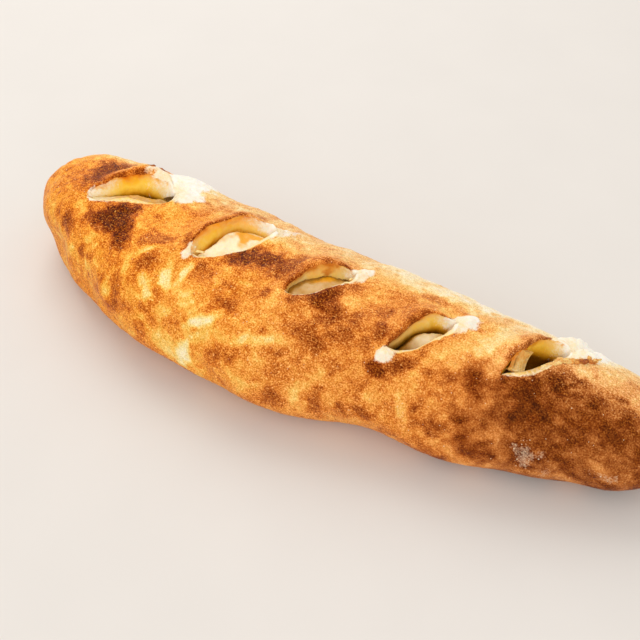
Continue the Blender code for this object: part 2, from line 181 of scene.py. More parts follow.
# Pale places, where the dough hardly took colour, orange oil on the cheese, dark stains of oil on the
# walls of the slashes and raw flour on the crust, all placed the same way.
PALE = (
    (-71, -33, 6.5, 3.5, 110, 0.8), (-63, -26, 7, 1.8, 75, 0.85), (-78, -43, 4.5, 2.5, 110, 0.7),
    (-83, -38, 4, 2.5, 100, 0.6), (-87, -23, 6, 1.2, 45, 0.6), (-105, -53, 5, 3.5, 90, 0.4),
    (-95, -36, 6, 2, 85, 0.6), (-87, -46, 4, 3, 0, 0.3), (-62, -64, 9, 8, 0, 0.45),
    (-50, -65, 9, 4, 80, 0.95), (-43, -44, 9, 2.4, 33, 0.95), (-57, -38, 6, 4, 0, 0.6),
    (-65, -48, 5, 3, 30, 0.55), (-14, -41, 11, 2.4, 22, 0.5), (-14, -20, 8, 3, 95, 0.25),
    (12, -58, 6, 2.5, 80, 0.45), (48, -47, 5, 3, 0, 0.3), (63, -46, 10, 2.6, 112, 0.45),
    (134, 3, 5, 3, 0, 0.5), (92, 3, 12, 8, 60, 0.55), (98, -11, 7, 4.5, 50, 0.4),
    (75, -12, 9, 5, 20, 0.3), (-33, 14, 6, 3, 40, 0.5), (22, -6, 5, 3.5, 0, 0.35),
    (-119, -34, 3.5, 1, 60, 0.5), (-125, -44, 7, 0.8, 105, 0.5), (-121, -49, 7, 0.8, 98, 0.5),
    (-131, -48, 5, 0.8, 110, 0.4), (-89, 3, 8, 6, -30, 0.35), (-40, -50, 14, 5, 25, 0.4),
    (-55, -68, 8, 4, 20, 0.35), (-12, -52, 10, 3, 30, 0.35), (20, -48, 8, 3, 60, 0.35),
    (0, -36, 8, 3, 10, 0.3), (38, -38, 5, 3, 40, 0.3), (-31, 20, 6, 4, 90, 0.4), (0, 27, 5, 9, 0, 0.3),
    (108, 18, 6, 5, 60, 0.35), (144, 8, 8, 6, 20, 0.35), (80, -1, 5, 5, 0, 0.35),
    (-35, -36, 4, 2, 40, 0.4),
)
OILED = (
    (-43, 15, 10, 2.5, 20, 1), (-47, 9, 6, 2.5, 105, 1), (-55, 4, 6, 1.2, 60, 0.4),
    (-118, 4, 12, 3, 30, 0.3), (112, 2, 9, 3.5, 50, 0.2), (2, 5, 6, 2, 40, 0.7),
)
STAINED = (
    (1.4, 10, 3.6, 0.9, 41, 0.65), (-56, 24, 6, 1.2, 40, 0.5), (106, 9, 3, 1.4, 60, 0.6),
    (-128, 12, 4, 1.2, 40, 0.5),
)
FLOURED = (
    (121, -47, 7, 3, 95, 1), (126, -43, 6, 2, 20, 0.7), (131, -52, 5, 3, 60, 0.6),
    (117, -44, 4, 2, 150, 0.6), (157, -40, 7, 3, 20, 0.7), (-28, 31, 8, 3, 50, 0.6),
    (-83, -37, 4, 2.6, 105, 0.45), (63, -47, 9, 2.6, 110, 0.42), (96, 17, 2, 1.2, 60, 0.8),
    (72, 16, 4, 1.5, 0, 0.5),
)

# Fine roughness, as rows of height, wavelength, seed and number of waves: of the crust, of its patchy
# bubbles, of the walls of the slashes, of the stretched dough and of the cheese.
CRUST_RIPPLES = ((0.50, 30, 3, 40), (0.09, 4.5, 5, 40), (0.045, 2.4, 7, 60))
BUBBLES = ((0.26, 12, 4, 40),)
WALL_RIPPLES = ((0.22, 5.0, 12, 40), (0.09, 2.4, 8, 60))
WHITE_RIPPLES = ((0.20, 4.0, 10, 40), (0.11, 2.2, 11, 60))
CHEESE_RIPPLES = ((0.28, 9, 71, 40), (0.13, 3.6, 72, 60), (0.05, 1.8, 73, 60))

# Grid of the crust: lines across the roll, and columns round it
COLUMNS = 188
TOP_CROWDING = 0.55             # how much the columns crowd together on top
CAP_LINES = 20
END_LINES = 44
GAP_LINES = 48
SLIT_LINES = 41
CAP_AT = 165.0                  # X of the first and the last line that isn't in a cap
CAP_LEAN = 0.4                  # how much these two lines slant
FILLING_RINGS = 420
FILLING_COLUMNS = 150
FILLING_CROWDING = 0.6
END_CROWDING = 0.2              # how much the rings of the filling crowd at its ends


def smooth_between(place, places, values):
    """Cubic through the given values, with each slope taken from the two neighbours."""
    places = np.asarray(places, float)
    values = np.asarray(values, float)
    slopes = np.gradient(values, places)
    place = np.clip(place, places[0], places[-1])
    band = np.clip(np.searchsorted(places, place) - 1, 0, len(places) - 2)
    width = places[band + 1] - places[band]
    part = (place - places[band]) / width
    start = (1 + 2 * part) * (1 - part) ** 2 * values[band]
    start = start + part * (1 - part) ** 2 * width * slopes[band]
    end = part ** 2 * (3 - 2 * part) * values[band + 1]
    return start + end + part ** 2 * (part - 1) * width * slopes[band + 1]


def ease(value, low, high):
    """0 below low, 1 above high, and a smooth S between them."""
    part = np.clip((value - low) / (high - low), 0, 1)
    return part * part * (3 - 2 * part)


def rounding(x, half_length, reach):
    """Quarter ellipse at both ends: 0 at the tip, 1 from the given reach inwards."""
    left = np.clip((x + half_length) / reach[0], 0, 1)
    right = np.clip((half_length - x) / reach[1], 0, 1)
    return np.sqrt(1 - (1 - left) ** 2) * np.sqrt(1 - (1 - right) ** 2)


def roll_point(x, angle, inset=0.0, end_inset=0.0):
    """Superellipse section at x: cosine to a power sideways, sine to a power upwards, flat below."""
    places, half_widths, heights, bows = zip(*STATIONS)
    half_length = LENGTH / 2 - end_inset
    half_width = smooth_between(x, places, half_widths) - inset
    half_width = half_width * rounding(x, half_length, PLAN_ROUND)
    top = smooth_between(x, places, heights)
    bottom = END_LIFT[0] * np.clip(1 - (x + LENGTH / 2) / LIFT_REACH[0], 0, 1) ** 2
    bottom = bottom + END_LIFT[1] * np.clip(1 - (LENGTH / 2 - x) / LIFT_REACH[1], 0, 1) ** 2
    middle = bottom + MIDDLE_AT * (top - bottom)
    closing = rounding(x, half_length, SIDE_ROUND)
    low = middle - (middle - bottom - inset) * closing
    high = middle + (top - inset - middle) * closing
    across = np.cos(angle)
    up = np.sin(angle)
    fullness = np.where(up >= 0, TOP_FULLNESS, BOTTOM_FULLNESS)
    y = smooth_between(x, places, bows)
    y = y + half_width * np.sign(across) * np.abs(across) ** (2 / fullness)
    rise = np.abs(up) ** (2 / fullness)
    level = np.where(up >= 0, WIDEST_AT + (1 - WIDEST_AT) * rise, WIDEST_AT * (1 - rise))
    z = low + (high - low) * level
    z = np.maximum(z, FLATTENED + inset) - FLATTENED
    return np.stack(np.broadcast_arrays(x, y, z), axis=-1)


def arc_from_ridge(x, angle):
    """Length of the section line from the ridge to the angle, positive towards +Y."""
    steps = np.linspace(0, 1, ARC_STEPS).reshape(-1, *([1] * np.ndim(angle)))
    angles = np.pi / 2 + (angle - np.pi / 2) * steps
    points = roll_point(np.broadcast_to(x, angles.shape), angles)
    length = np.linalg.norm(np.diff(points, axis=0), axis=-1).sum(axis=0)
    return length * np.sign(np.pi / 2 - angle)


def outward(x, angle):
    """Unit normal of the plain roll: cross product of a small step round it and one along it."""
    along = roll_point(x + STEP, angle) - roll_point(x - STEP, angle)
    around = roll_point(x, angle + STEP) - roll_point(x, angle - STEP)
    normal = np.cross(around, along)
    return normal / np.maximum(np.linalg.norm(normal, axis=-1, keepdims=True), 1e-9)


def uneven(points, wavelength, seed, waves=22):
    """Smooth random field of unit spread: plane waves of about one length in random directions."""
    rng = np.random.default_rng(seed)
    direction = rng.normal(size=(waves, 3))
    direction = direction / np.linalg.norm(direction, axis=1, keepdims=True)
    turns = 2 * np.pi / (wavelength * rng.uniform(0.7, 1.4, waves))
    phase = rng.uniform(0, 2 * np.pi, waves)
    field = np.zeros(points.shape[:-1])
    for way, turn, start in zip(direction, turns, phase):
        field = field + np.cos(points @ (way * turn) + start)
    return field * np.sqrt(2 / waves)


def ripples(points, rows):
    """Sum of the random fields of some rows of height, wavelength, seed and number of waves."""
    return sum(height * uneven(points, *row) for height, *row in rows)


# ------------------------------------------------------------------ grid lines of the crust
def column_angles(columns, crowding):
    """Angles round the roll from the underside back to it, crowded together on top."""
    turn = -np.pi / 2 + 2 * np.pi * np.arange(columns) / columns
    return turn + crowding * np.cos(turn)


def band_width(slash, along):
    """Half width of the band that opens: narrow within the slash, wider beyond its tips."""
    beyond = ease(np.abs(along), slash["length"] / 2 - 1, slash["length"] / 2 + TIP_RUN)
    return SLIT + (LOOSE_BAND - SLIT) * beyond


def squared(off):
    """Distance round the top that grows evenly near the ridge and stops at the reach of the lines."""
    return off / (1 + np.abs(off / LINE_REACH) ** 4) ** 0.25


def slash_line(slash, angle):
    """Distance along the slash at each column, and X of its line there."""
    arc = arc_from_ridge(np.full_like(angle, slash["x"]), angle)
    off = arc - slash["arc"]
    slant = radians(slash["angle"])
    straight = squared(off) * (1 - ease(np.abs(arc), *FADE_ARC))
    return off / np.sin(slant), slash["x"] + straight / np.tan(slant)


def crust_lines(angle):
    """X of every grid line at every column: evenly spaced runs between the slanting slash bands.

    In the caps at both ends the lines crowd towards the tip, by the square of their share.
    """
    lean = arc_from_ridge(np.zeros_like(angle), angle)
    lean = squared(lean) * (1 - ease(np.abs(lean), *FADE_ARC))
    left = -CAP_AT + CAP_LEAN * lean
    right = CAP_AT + CAP_LEAN * lean
    share = (np.arange(1, CAP_LINES) / CAP_LINES)[:, None] ** 2
    rows = [-LENGTH / 2 + (left + LENGTH / 2) * share]

    def run(first, span, count):
        rows.append(first + span * (np.arange(count) / count)[:, None])

    start = left
    for number, slash in enumerate(SLASHES):
        along, line_x = slash_line(slash, angle)
        width = band_width(slash, along) / np.sin(radians(slash["angle"]))
        run(start, line_x - width - start, GAP_LINES if number else END_LINES)
        run(line_x - width, 2 * width, SLIT_LINES)
        start = line_x + width
    run(start, right - start, END_LINES)
    share = (1 - np.arange(CAP_LINES) / CAP_LINES)[:, None] ** 2
    rows.append(LENGTH / 2 + (right - LENGTH / 2) * share)
    return np.concatenate(rows)


# ------------------------------------------------------------------ shape of a slash
def far_wall(share, rim, lean):
    """Section of the far side of a slash, from the floor of the groove (share 0) to its rim (1).

    Smooth curves through a few knots give the distance from the slash line, the depth, and how
    much of the lip's height applies. A steep wall leans out as it rises, runs in under the lip,
    comes forward again and turns over a rounded edge. Where it leans out by its whole width, it
    runs up evenly and meets the crust without an edge instead.
    """
    def curve(*values):
        return smooth_between(share, (0.0, 0.14, 0.30, 0.50, 0.70, 0.84, 0.93, 1.0), values)

    foot = np.maximum(rim - lean, STEEPEST_FOOT * rim)
    steep = 1 - ease(lean / np.maximum(rim, 0.1), 0.75, 1.05)
    upper = np.where(share < 0.5, 0.0, 1 - steep)
    out = curve(0.0, 0.55, 1.0, 1.0, 0.35, 0.0, 0.0, 0.0) * foot
    out = out + curve(0.0, 0.0, 0.0, 0.0, 0.65, 1.0, 1.0, 1.0) * rim
    slope = curve(0.0, 0.0, 0.0, 0.0, 0.40, 0.72, 0.88, 1.0)
    out = out + (foot + (rim - foot) * slope - out) * upper
    under = curve(0.0, 0.0, UNDERCUT * 0.8, UNDERCUT, 0.1, -OVERHANG, -OVERHANG * 0.8, 0.0)
    out = out + under * np.clip(rim / 6, 0, 1) * steep
    low = (-GROOVE, -GROOVE, -0.78 * GROOVE, -0.44 * GROOVE)
    depth = curve(*low, -4.2, -2.2, -0.7, 0.0)
    even = curve(*low, -2.6, -0.9, -0.2, 0.0)
    return out, depth + (even - depth) * upper, curve(0.0, 0.0, 0.1, 0.45, 0.9, 1.0, 1.0, 1.0)


def near_wall(share, rim, ledge):
    """Section of the near side, made like the far one, with a sloping ledge inside the rim."""
    def curve(*values):
        return smooth_between(share, (0.0, 0.16, 0.42, 0.70, 0.88, 1.0), values)

    out = curve(0.0, 0.5, 1.0, 1.0, 1.0, 1.0) * rim
    out = out - curve(0.0, 0.0, 0.5, 1.0, 0.55, 0.0) * np.minimum(ledge, rim)
    depth = curve(-GROOVE, -GROOVE, -0.62 * GROOVE, -2.4, -0.6, 0.0)
    return out, depth, curve(0.0, 0.0, 0.4, 0.9, 1.0, 1.0)


def slash_shape(slash, along, seed):
    """Rims, lips and opening of a slash at each distance along it.

    Each is a smooth curve through its five values, times one minus the square of the distance to a
    power, so that the rims meet in rounded tips.
    """
    part = along / (slash["length"] / 2)
    wobble = uneven(np.stack((along, 0 * along, 0 * along), -1), WOBBLE, seed)
    share = np.clip(1 - part ** 2, 0, 1)
    shape = {name: smooth_between(part, (-1.0, -0.5, 0.0, 0.5, 1.0), row) for name, row in slash.items()
             if isinstance(row, tuple)}
    closing = share ** 0.45 * (1 + 0.025 * wobble)
    arch = share ** 0.6 * (1 + 0.03 * wobble)
    slow = share ** np.where(part > 0, slash["taper"], 0.45) * (1 + 0.025 * wobble)
    slow = slow * np.where(part > 0, ease(share, -0.05, slash["closes"]), 1)
    for name, scale in (("far", slow), ("near", closing), ("far_lip", arch), ("near_lip", arch)):
        shape[name] = shape[name] * scale
    shape["deep"] = ease(share, 0.0, np.where(part > 0, slash["run_out"], 0.42))
    shape["opened"] = ease(share, 0.0, 0.10)
    return shape


def from_slash(slash, x, angle):
    """Distance of each point across the slash line, + to the far side, and along it."""
    slant = radians(slash["angle"])
    along, line_x = slash_line(slash, angle)
    before = -(x - line_x) * np.sin(slant)
    return before, along - before / np.tan(slant)


def open_slash(slash, x, angle, seed):
    """How a slash moves the crust: shift across it and height, and what lies where along it.

    The band of half width SLIT about the slash line opens into the groove. Outside it the crust is
    pushed away by the same amount, fading as a bell curve, and lifted into the lips.
    """
    before, along = from_slash(slash, x, angle)
    band = band_width(slash, along)
    place = np.clip(before / band, -1, 1)
    shape = slash_shape(slash, along, seed)
    opened = shape["opened"]
    walls = (far_wall(np.maximum(place, 0), shape["far"], shape["lean"]),
             near_wall(np.maximum(-place, 0), shape["near"], shape["ledge"]))
    far_side = place >= 0
    across, drop, rise = (np.where(far_side, far, near) for far, near in zip(*walls))
    inside = np.abs(before) < band
    beyond = np.maximum(np.abs(before) - band, 0)
    rim = np.where(far_side, shape["far"], shape["near"])
    lip = np.where(far_side, shape["far_lip"], shape["near_lip"]) * opened
    push = np.sign(before) * (rim - band) * np.exp(-(beyond / PUSH_REACH) ** 2)
    shift = np.where(inside, np.where(far_side, across, -across) - before, push)
    shape.update(
        far_side=far_side, inside=inside * opened, beyond=beyond, shift=shift * opened,
        drop=np.where(inside, drop * shape["deep"] * opened, 0),
        kept=np.where(inside, 1 + (rise - 1) * opened, 1),
        rim_lip=lip, lip=lip * np.exp(-(beyond / np.where(far_side, *LIP_REACH)) ** 2),
        folded=np.where(far_side, shape["folded"], 0.0),
        away=np.hypot(np.maximum(np.abs(along) - slash["length"] / 2, 0), np.where(inside, 0, beyond)))
    return shape


def patches(x, arc, places, edge=0.35, ragged=0.22):
    """Cover of some soft oval places: one minus the product of what each leaves uncovered.

    An oval is a smooth step of the distance measured in its own half length and half width, which
    a random field makes ragged. Returns the cover and the height of the ovals' bulges.
    """
    flat = np.stack((x, arc, 0 * x), -1)
    rough = ragged * (0.7 * uneven(flat, 7.0, 61) + 0.5 * uneven(flat, 3.2, 62))
    left = np.ones_like(x)
    raised = np.zeros_like(x)
    for place in places:
        turn = radians(place[4])
        along = ((x - place[0]) * np.cos(turn) + (arc - place[1]) * np.sin(turn)) / place[2]
        aside = ((arc - place[1]) * np.cos(turn) - (x - place[0]) * np.sin(turn)) / place[3]
        off = np.hypot(along, aside)
        cover = 1 - ease(off + rough, 1 - edge, 1 + edge)
        left = left * (1 - place[-1] * cover)
        if len(place) > 6:
            raised = np.maximum(raised, place[5] * np.clip(1 - off ** 2 / 1.5, 0, 1) ** 1.5)
    return 1 - left, raised


def swelling(x, arc):
    """Sum of the swells, each a bell curve of the distance in its own half length and half width."""
    height = np.zeros_like(x)
    for place_x, place_arc, length, width, rise in SWELLS:
        off = ((x - place_x) / length) ** 2 + ((arc - place_arc) / width) ** 2
        height = height + rise * np.exp(-off)
    return height


# ------------------------------------------------------------------ meshes
def closed_mesh(name, *parts):
    """Mesh of parts, each of rings of points: closed round each ring, and by a fan to both tips."""
    verts, faces, start = [], [], 0
    for rings, tips in parts:
        count, columns = rings.shape[:2]
        ring = np.arange(count - 1)[:, None] * columns + start
        column = np.arange(columns)[None, :]
        after = (column + 1) % columns
        above = ring + columns
        quads = np.stack((ring + column, ring + after, above + after, above + column), -1)
        end = np.full(columns, start + count * columns)
        last = start + (count - 1) * columns
        first = np.stack((end, start + after[0], start + column[0]), -1)
        final = np.stack((end + 1, last + column[0], last + after[0]), -1)
        faces = faces + quads.reshape(-1, 4).tolist() + first.tolist() + final.tolist()
        verts.append(np.concatenate((rings.reshape(-1, 3), tips)))
        start = start + count * columns + 2
    mesh = bpy.data.meshes.new(name)
    mesh.from_pydata(np.concatenate(verts) * MM, [], faces)
    mesh.shade_smooth()
    return mesh


def add_values(mesh, **values):
    """Point attributes that the materials read, one number a point."""
    for name, value in values.items():
        layer = mesh.attributes.new(name, "FLOAT", "POINT")
        full = np.zeros(len(mesh.vertices), np.float32)
        full[:value.size] = value.ravel()
        layer.data.foreach_set("value", full)


def make_object(mesh, material):
    """Object of a finished mesh, riding on the roll."""
    piece = bpy.data.objects.new(mesh.name, mesh)
    bpy.context.scene.collection.objects.link(piece)
    mesh.materials.append(material)
    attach(piece, "root")
    return piece


# ------------------------------------------------------------------ crust
def base_toast(x, arc, points):
    """How brown the crust is between its marks: more to the right end, less on the far side."""
    right = ease(x, 65, 125)
    # The far side is paler: partly less toast, partly painted sheen.
    far = ease(arc, 0, 34) * (1 - 0.55 * ease(arc, 38, 62))
    # A little browner towards the underside: painted shade.
    low = ease(-arc, 45, 85)
    dark = right * (1 - 0.90 * ease(arc, -13, 3))
    level = 0.48 + 0.235 * dark - (0.19 + 0.24 * ease(x, 0, 50)) * far + 0.02 * low
    level = level + 0.04 * ease(x, -20, 20) * (1 - far) - 0.03 * ease(-x, 40, 90)
    level = level - 0.05 * ease(-arc, 28, 48) * ease(x, -65, -45) * (1 - ease(x, 25, 60))
    level = level - 0.07 * right * ease(arc, -13, 3)
    cloud = 0.036 * uneven(points, 19, 31) + 0.026 * uneven(points, 9, 32, 40)
    cloud = cloud * (1 + 0.9 * ease(x, 30, 90))
    spots = 0.12 * np.clip(uneven(points, 7.5, 33, 40) - 0.9, 0, 1.2)
    spots = spots - 0.11 * ease(-x, -20, 60) * np.clip(uneven(points, 6, 35, 40) - 0.8, 0, 1.3)
    return level + cloud + spots + 0.03 * uneven(points, 4, 34, 40)


def cut_crust(x, angles):
    """What all the slashes do to the crust, and the marks that they leave on it.

    Shifts, drops and lips add up. Of each mark, a point keeps the strongest that any slash gives:
    products of smooth steps of the depth below the brown edge and of the distance beyond the rim.
    """
    moved = {name: np.zeros_like(x) for name in ("x", "arc", "drop", "lip")}
    marks = {}
    kept = np.ones_like(x)
    away = np.full(x.shape, 99.0)
    for number, slash in enumerate(SLASHES):
        one = open_slash(slash, x, angles[None, :], FIRST_RIM + number)
        far, inside, beyond, pale = (one[name] for name in ("far_side", "inside", "beyond", "pale"))
        slant = radians(slash["angle"])
        for name, change in (("x", -one["shift"] * np.sin(slant)), ("arc", one["shift"] * np.cos(slant)),
                             ("drop", one["drop"]), ("lip", one["lip"])):
            moved[name] = moved[name] + change
        kept = np.minimum(kept, one["kept"])
        away = np.minimum(away, one["away"])
        level = one["kept"] * one["rim_lip"] + one["drop"]
        folded = one["rim_lip"] - level - one["folded"]
        bared = ease(folded, -0.1, 0.8)
        # Depth down the wall, 4 more on the near side: the walls darken with it as painted shade.
        depth = np.where(far, folded, 4 + 0.8 * folded)
        only_far = np.where(far, 1.0, 0.3)
        cream = np.where(far, pale, np.maximum(pale, 0.6 * slash["snowy"]))
        cream = cream * np.where(far, np.maximum(bared, ease(cream, 0.5, 0.9)), 1)
        close = 0.20 * np.exp(-(beyond / 5.0) ** 2) + 0.55 * np.exp(-(beyond / 1.1) ** 2)
        close = close + 0.5 * inside * np.clip(1 + folded / np.maximum(one["folded"], 1), 0, 1)
        close = close * one["opened"] * (1 - 0.9 * ease(pale, 0.55, 0.95))
        for name, mark in dict(
                inner=inside * ease(folded, -0.1, 0.5),
                # Place down the wall, scaled by shade: the wall ramps darken with it, which is painted
                # shade.
                below=inside * np.clip(depth / GROOVE * one["shade"], 0, 1),
                pale_wall=inside * cream * (1 - 0.75 * ease(depth, 3.5, 7)),
                grease=inside * one["grease"] * only_far,
                olive=inside * one["olive"] * only_far,
                rim_brown=close * np.where(far, 1.0, 0.5),
                snowy=inside * ease(pale, 0.3, 0.9) * slash["snowy"],
                near_edge=0.8 * ease(-beyond, -1.0, -0.2) * one["opened"] * ~far * one["raw_rim"],
        ).items():
            marks[name] = np.maximum(marks.get(name, 0), mark)
    return moved, kept, away, marks


def crust_values(x, arc, base, away, white, marks):
    """Values from 0 to 1 that the crust's material reads, from smooth steps of the place and marks."""
    browned, pale, flour, stain = (patches(x, arc, places, edge, ragged)[0] for places, edge, ragged in (
        (BROWNED, 0.60, 0.16), (PALE, 0.55, 0.16), (FLOURED, 0.7, 0.2), (STAINED, 0.5, 0.2)))
    rim_brown = marks["rim_brown"] * np.clip(0.85 + 0.35 * uneven(base, 7, 13), 0.3, 1.3)
    toast = base_toast(x, arc, base)
    toast = toast + (0.97 - toast) * browned * (1 - 0.08 * ease(x, -35, -10))
    toast = toast + (0.90 - toast) * 0.65 * np.clip(rim_brown, 0, 1.2)
    toast = toast * (1 - 0.85 * pale) * (1 - 0.25 * white)
    # Painted sheen: crust paler and greyer where light glances off it, most on the far side and the right
    # end.
    dull = 0.12 + 0.20 * ease(x, -40, 10) + 0.75 * ease(arc, 5, 35) + 0.55 * ease(x, 60, 130)
    dull = dull - 0.12 * ease(-x, 60, 100)
    inner = marks["inner"]
    return dict(
        toast=toast, dull=np.clip(dull, 0, 1), below=marks["below"], grease=marks["grease"],
        olive=marks["olive"], white=np.maximum(white * (1 - 0.75 * inner), marks["pale_wall"]),
        pure=np.maximum(0.42 + 0.46 * ease(away, 0, 12), 0.85 * marks["snowy"]),
        flour=flour, stain=stain * inner,
        # Strength of the painted glints and small shadows in the crust's fine grain.
        mealy=1.12 - 0.12 * ease(x, -20, 40) - 0.40 * ease(x, 60, 100) * ease(-arc, 0, 22))


def crust_mesh():
    """Mesh of the crust, and the points, normals and flour of its top.

    Each grid point is moved over the plain roll by the slashes. Then it goes outwards by the sum of
    the drop into a slash, the lips, the stretched dough, the swells and the fine roughness.
    """
    angles = column_angles(COLUMNS, TOP_CROWDING)
    x = crust_lines(angles)
    angle = np.broadcast_to(angles[None, :], x.shape)
    moved, kept, away, marks = cut_crust(x, angles)
    speed = np.linalg.norm(roll_point(x, angle + STEP) - roll_point(x, angle - STEP), axis=-1)
    x = x + moved["x"]
    angle = angle - moved["arc"] * 2 * STEP / np.maximum(speed, 0.1)
    base = roll_point(x, angle)
    normal = outward(x, angle)
    arc = arc_from_ridge(x, angle)
    white, raised = patches(x, arc, STRETCHED, 0.34, 0.12)
    near_edge = marks["near_edge"] * np.clip(0.75 + 0.35 * uneven(base, 6, 9), 0, 1)
    bare = np.clip(np.maximum(marks["inner"], near_edge), 0, 1)

    on_wall = base + normal * (moved["drop"] + kept * moved["lip"])[..., None]
    patchy = np.clip(0.5 + 0.35 * uneven(base, 40, 6), 0, 1)
    rough = ripples(base, CRUST_RIPPLES) + patchy * ripples(base, BUBBLES)
    rough = rough * (1 - 0.6 * np.maximum(bare, white)) * np.clip(base[..., 2] / 20, 0, 1)
    rough = rough + bare * ripples(on_wall, WALL_RIPPLES) + white * ripples(base, WHITE_RIPPLES)
    height = moved["drop"] + kept * (moved["lip"] + raised) + rough + swelling(x, arc)
    height = height * ease(LENGTH / 2 - np.abs(x), 0, 12)
    points = base + normal * height[..., None]
    points[..., 2] = np.maximum(points[..., 2], 0)
    tips = roll_point(np.array([-LENGTH / 2, LENGTH / 2]), np.zeros(2))
    mesh = closed_mesh("crust_dough", (points, tips))
    values = crust_values(x, arc, base, away, white, marks)
    add_values(mesh, bare=bare, **values)
    shown = (base[..., 2] > 15) & (bare < 0.1)
    return mesh, points[shown], normal[shown], values["flour"][shown]


# ------------------------------------------------------------------ cheese
def cheese_level(slash, x, angle):
    """Height of the cheese under the crust in a slash, how much of it applies, and its colouring.

    Across the slash the level falls from the pillow beside the near rim to the crevice at the foot
    of the far wall. Just beyond either rim it drops back to the core, inside the dough.
    """
    before, along = from_slash(slash, x, angle)
    shape = slash_shape(slash, along, 0)
    far = np.maximum(shape["far"] - shape["lean"], STEEPEST_FOOT * shape["far"]) + UNDERCUT
    near = shape["near"]
    fall = ease(before, far - slash["fold"], far - 0.8)
    swell = np.clip(1 - ((before + 0.2 * near) / (0.9 * far + near)) ** 2, 0, 1)
    level = shape["cheese"] + 0.8 * swell + (shape["gap"] - shape["cheese"]) * fall ** 1.5
    hold = ease(before, -near - 2.2, -near - 0.6) * (1 - ease(before, far + 0.6, far + 2.4))
    hold = hold * ease(shape["deep"], 0.0, 0.5)
    # Colour marks: the crevice's painted shade, and how olive the cheese is, partly painted shade.
    return level, hold, fall * np.minimum(shape["shade"], 1), shape["khaki"]


def filling_mesh():
    """Mesh of the cheese core: the plain roll less the dough, lifted in each slash to its level."""
    angle = column_angles(FILLING_COLUMNS, FILLING_CROWDING)[None, :]
    half = LENGTH / 2 - END_DOUGH
    share = np.arange(1, FILLING_RINGS) / FILLING_RINGS
    x = -half * np.cos(np.pi * share) * END_CROWDING + (2 * share - 1) * half * (1 - END_CROWDING)
    x, angle = np.broadcast_arrays(x[:, None], angle)
    base = roll_point(x, angle, DOUGH, END_DOUGH)
    lift, crevice, khaki = np.zeros((3, *x.shape))
    for slash in SLASHES:
        level, hold, fall, tint = cheese_level(slash, x, angle)
        lift = lift + (DOUGH + level) * hold
        # Cheese darker down the crevice at the far wall and where it lies deep: painted shade.
        crevice = np.maximum(crevice, np.maximum(fall, (-4.2 - level) / 5) * hold)
        khaki = np.maximum(khaki, tint * hold)
    height = lift + ripples(base, CHEESE_RIPPLES) * np.clip(lift / 2, 0, 1)
    points = base + outward(x, angle) * height[..., None]
    tips = roll_point(np.array([-half, half]), np.zeros(2), DOUGH, END_DOUGH)
    mesh = closed_mesh("cheese_core", (points, tips))
    oil, _ = patches(x, arc_from_ridge(x, angle), OILED, 0.6, 0.2)
    add_values(mesh, crevice=crevice, oil=oil, khaki=khaki)
    return mesh


# ------------------------------------------------------------------ small loose pieces
# Torn bits of dough: X, arc, height over the plain roll, three half sizes, angle, tilt and tone from
# pale to burnt
TORN = (
    (116.2, -0.6, 0, 2.4, 1.2, 0.6, 40, 0, 0.34), (118.4, 2, 0, 2.6, 1.4, 0.7, 44, 0, 0.4),
    (120.2, 4.2, 0, 2.4, 1.4, 0.7, 48, 0, 0.36), (121.6, 6.2, 0.1, 2.6, 1.6, 0.7, 26, 3, 0.38),
    (123.8, 7, 0.2, 2.3, 1.7, 0.7, 50, -4, 0.34), (125.8, 8.2, 0.2, 2.5, 1.6, 0.7, 30, 4, 0.44),
    (128, 9.2, 0.3, 2.3, 1.5, 0.7, 65, -4, 0.56), (129.8, 10.4, 0.3, 2.5, 1.4, 0.8, 35, 6, 0.66),
    (131.4, 11, 0.6, 1.9, 1.3, 0.8, 80, 5, 0.76), (133, 12.4, 0.5, 2.5, 1.3, 0.7, 24, 3, 0.6),
    (131.8, 13.6, 1.2, 1.9, 1.2, 0.6, 95, 12, 0.46), (134.8, 14.2, 0.6, 2.3, 1.3, 0.6, 60, 8, 0.42),
    (136, 17.4, 0.5, 2.4, 1.1, 0.6, 80, 6, 0.3), (136.4, 20.4, 0.3, 2.2, 1.1, 0.5, 95, 0, 0.24),
    (14.8, 8, 0.3, 1, 0.6, 0.4, 70, 0, 0.22), (17.6, 7.6, 0.1, 1.1, 0.8, 0.4, 40, 0, 0.6),
    (-66.5, -12.5, 0.5, 2.4, 0.8, 0.6, 50, 0, 0.12), (-61, -12, 0.6, 2, 0.8, 0.6, 10, 0, 0.26),
    (-68.6, -8, 1.4, 1.2, 0.8, 0.7, 70, 0, 0.85), (-122, 30.5, 1.2, 4.2, 2, 1.5, 70, 0, 0.72),
    (-126, 27.5, 2.6, 3.6, 1.6, 1.2, 60, 0, 0.8), (-136.5, 1, -0.6, 2, 0.9, 0.7, 100, 0, 0.16),
)
# Strings of cheese and dough: X, arc and height of both ends, radius, flatness, sag and both tones
STRINGS = (
    (103.8, 2.6, 0.8, 105, -8.4, -1.4, 0.85, 3.3, 1.3, 0.42, 0.1),
    (101.6, 0, 1, 102.8, -8.6, -0.9, 0.65, 1.8, 0.7, 0.6, 0.34),
    (106.2, 4.9, 0, 107.6, -7, -2.2, 0.6, 1.9, 2, 0.34, 0.14),
    (104.8, 3.8, 0.4, 106.4, -7.6, -1.8, 0.6, 1.8, 1.6, 0.34, 0.12),
)
# Dark scraps of filling, placed the same way as the torn bits
SCRAPS = (
    (-99.2, 14.2, -1.6, 3, 1.6, 1, 30, 8, 0.45), (-10.2, -5.2, -0.6, 1.1, 0.6, 0.5, 90, 0, 0.5),
    (11.8, 8.4, -1.8, 0.9, 0.4, 0.4, 30, 0, 0.5),
)
SPECKS = 340
SPECK_SIZE = (0.14, 0.32)       # least and greatest half size of a grain of flour


